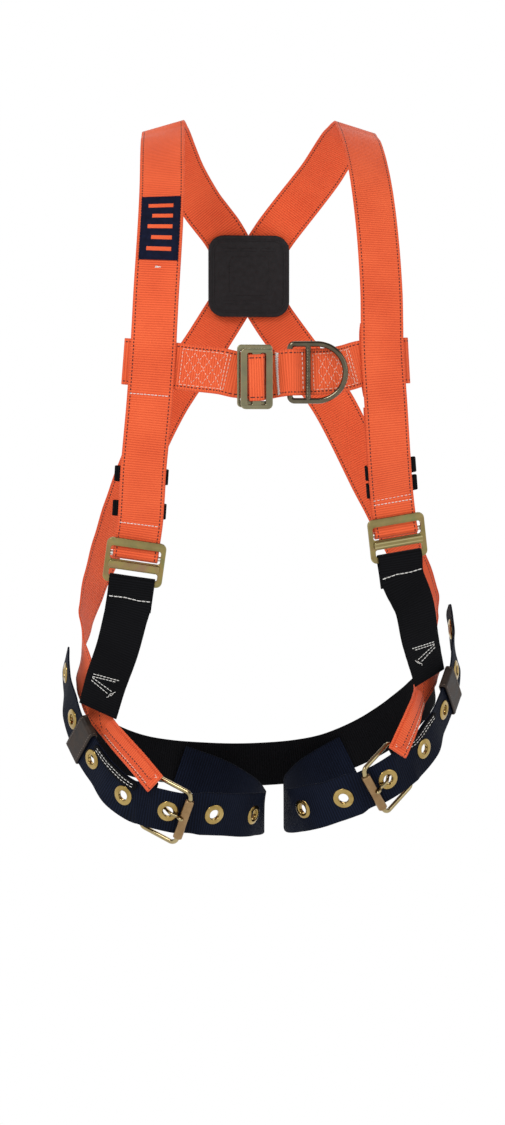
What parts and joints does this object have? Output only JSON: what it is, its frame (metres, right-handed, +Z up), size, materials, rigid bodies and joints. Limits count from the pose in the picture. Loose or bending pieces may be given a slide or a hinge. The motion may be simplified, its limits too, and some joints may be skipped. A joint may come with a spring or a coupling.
{
  "type": "safety harness",
  "caption": "Full-body webbing safety harness with tongue-buckle leg straps, plate torso adjusters, a plate-and-slot chest strap with a front ring, and a dorsal ring on a back pad.",
  "frame": {"origin": "the middle of the wearer's body at the waist, inside the harness as it is worn", "axes": "+Z up along the wearer's spine, +X to the wearer's left, -Y the way the wearer faces, so the dorsal ring is on the +Y side"},
  "size_m": [0.4009, 0.2847, 0.7123],
  "materials": {
    "orange_webbing": "woven polyester webbing with fine cross ribs and a dark dashed tracer thread near each edge",
    "navy_webbing": "woven webbing with cross ribs",
    "black_webbing": "woven webbing with cross ribs",
    "navy_label": "plain sewn patch",
    "olive_plate": "olive-grey zinc plate, worn bright on the edges",
    "yellow_zinc_plate": "yellow passivated zinc plate with iridescent patches",
    "dark_bronze_steel": "dark bronze forged steel, worn bright",
    "bright_steel": "bright zinc-plated steel",
    "brass_fittings": "bright brass",
    "copper_brass_roller": "worn copper-coloured brass",
    "brown_leather": "dark brown leather",
    "black_plastic": "matte moulded plastic"
  },
  "bodies": {
    "webbing_and_frames": {"right_shoulder_strap": "orange_webbing", "right_torso_frame": "yellow_zinc_plate", "right_chest_pocket": "orange_webbing", "right_hip_strap": "black_webbing", "right_leg_strap": "navy_webbing", "right_grommet_1": "brass_fittings", "right_grommet_2": "brass_fittings", "right_grommet_3": "brass_fittings", "right_grommet_4": "brass_fittings", "right_grommet_5": "brass_fittings", "right_grommet_6": "brass_fittings", "right_grommet_7": "brass_fittings", "right_leg_frame": "brass_fittings", "right_hinge_loop": "black_webbing", "left_shoulder_strap": "orange_webbing", "left_torso_frame": "yellow_zinc_plate", "left_chest_pocket": "orange_webbing", "left_hip_strap": "black_webbing", "left_leg_strap": "navy_webbing", "left_grommet_1": "brass_fittings", "left_grommet_2": "brass_fittings", "left_grommet_3": "brass_fittings", "left_grommet_4": "brass_fittings", "left_grommet_5": "brass_fittings", "left_grommet_6": "brass_fittings", "left_grommet_7": "brass_fittings", "left_leg_frame": "brass_fittings", "left_hinge_loop": "black_webbing", "right_chest_strap": "orange_webbing", "left_chest_strap": "orange_webbing", "chest_frame": "olive_plate", "chest_plate": "olive_plate", "dorsal_pad": "black_plastic", "label_patch": "navy_label", "seat_strap": "black_webbing"},
    "front_ring": {"front_ring": "dark_bronze_steel"},
    "dorsal_ring": {"dorsal_ring": "bright_steel"},
    "right_slide_bar": {"right_slide_bar": "bright_steel"},
    "right_upper_keeper": {"right_upper_keeper": "black_webbing"},
    "right_lower_keeper": {"right_lower_keeper": "black_webbing"},
    "right_leg_roller": {"right_leg_roller": "copper_brass_roller"},
    "right_leg_tongue": {"right_leg_tongue": "brass_fittings"},
    "right_leg_keeper": {"right_leg_keeper": "brown_leather"},
    "left_slide_bar": {"left_slide_bar": "bright_steel"},
    "left_upper_keeper": {"left_upper_keeper": "black_webbing"},
    "left_lower_keeper": {"left_lower_keeper": "black_webbing"},
    "left_leg_roller": {"left_leg_roller": "copper_brass_roller"},
    "left_leg_tongue": {"left_leg_tongue": "brass_fittings"},
    "left_leg_keeper": {"left_leg_keeper": "brown_leather"}
  },
  "joints": [
    {"name": "front_ring_swing", "type": "hinge", "parent": "webbing_and_frames", "child": "front_ring", "pos_m": [0.018, -0.1195, 0.1865], "axis": [0, 0, -1], "range_deg": [0, 130]},
    {"name": "dorsal_ring_swing", "type": "hinge", "parent": "webbing_and_frames", "child": "dorsal_ring", "pos_m": [0.002, 0.11315, 0.292], "axis": [1, 0, 0], "range_deg": [0, 90]},
    {"name": "right_slide_bar_travel", "type": "slide", "parent": "webbing_and_frames", "child": "right_slide_bar", "axis": [0.1225, -0.179, 0.9762], "range_m": [0, 0.0015]},
    {"name": "right_upper_keeper_slide", "type": "slide", "parent": "webbing_and_frames", "child": "right_upper_keeper", "axis": [0.0407, -0.2794, 0.9593], "range_m": [-0.003, 0.003]},
    {"name": "right_lower_keeper_slide", "type": "slide", "parent": "webbing_and_frames", "child": "right_lower_keeper", "axis": [0.0407, -0.2794, 0.9593], "range_m": [-0.003, 0.003]},
    {"name": "right_roller_spin", "type": "hinge", "parent": "webbing_and_frames", "child": "right_leg_roller", "pos_m": [-0.08346, -0.10561, -0.24401], "axis": [0.2865, -0.2759, 0.9175], "continuous": true},
    {"name": "right_tongue_swing", "type": "hinge", "parent": "webbing_and_frames", "child": "right_leg_tongue", "pos_m": [-0.11632, -0.08507, -0.22757], "axis": [-0.2865, 0.2759, -0.9175], "range_deg": [0, 1.5]},
    {"name": "right_leg_keeper_slide", "type": "slide", "parent": "webbing_and_frames", "child": "right_leg_keeper", "axis": [-0.3701, 0.5296, 0.7632], "range_m": [-0.002, 0.002]},
    {"name": "left_slide_bar_travel", "type": "slide", "parent": "webbing_and_frames", "child": "left_slide_bar", "axis": [-0.1341, -0.164, 0.9773], "range_m": [0, 0.0015]},
    {"name": "left_upper_keeper_slide", "type": "slide", "parent": "webbing_and_frames", "child": "left_upper_keeper", "axis": [-0.1257, -0.3494, 0.9285], "range_m": [-0.001, 0.0015]},
    {"name": "left_lower_keeper_slide", "type": "slide", "parent": "webbing_and_frames", "child": "left_lower_keeper", "axis": [-0.1257, -0.3494, 0.9285], "range_m": [-0.003, 0.001]},
    {"name": "left_roller_spin", "type": "hinge", "parent": "webbing_and_frames", "child": "left_leg_roller", "pos_m": [0.10235, -0.10495, -0.22007], "axis": [0.4783, 0.328, -0.8146], "continuous": true},
    {"name": "left_tongue_swing", "type": "hinge", "parent": "webbing_and_frames", "child": "left_leg_tongue", "pos_m": [0.13176, -0.08349, -0.19416], "axis": [-0.4783, -0.328, 0.8146], "range_deg": [0, 1.5]},
    {"name": "left_leg_keeper_slide", "type": "slide", "parent": "webbing_and_frames", "child": "left_leg_keeper", "axis": [0.3727, 0.5224, 0.7669], "range_m": [-0.002, 0.002]}
  ]
}
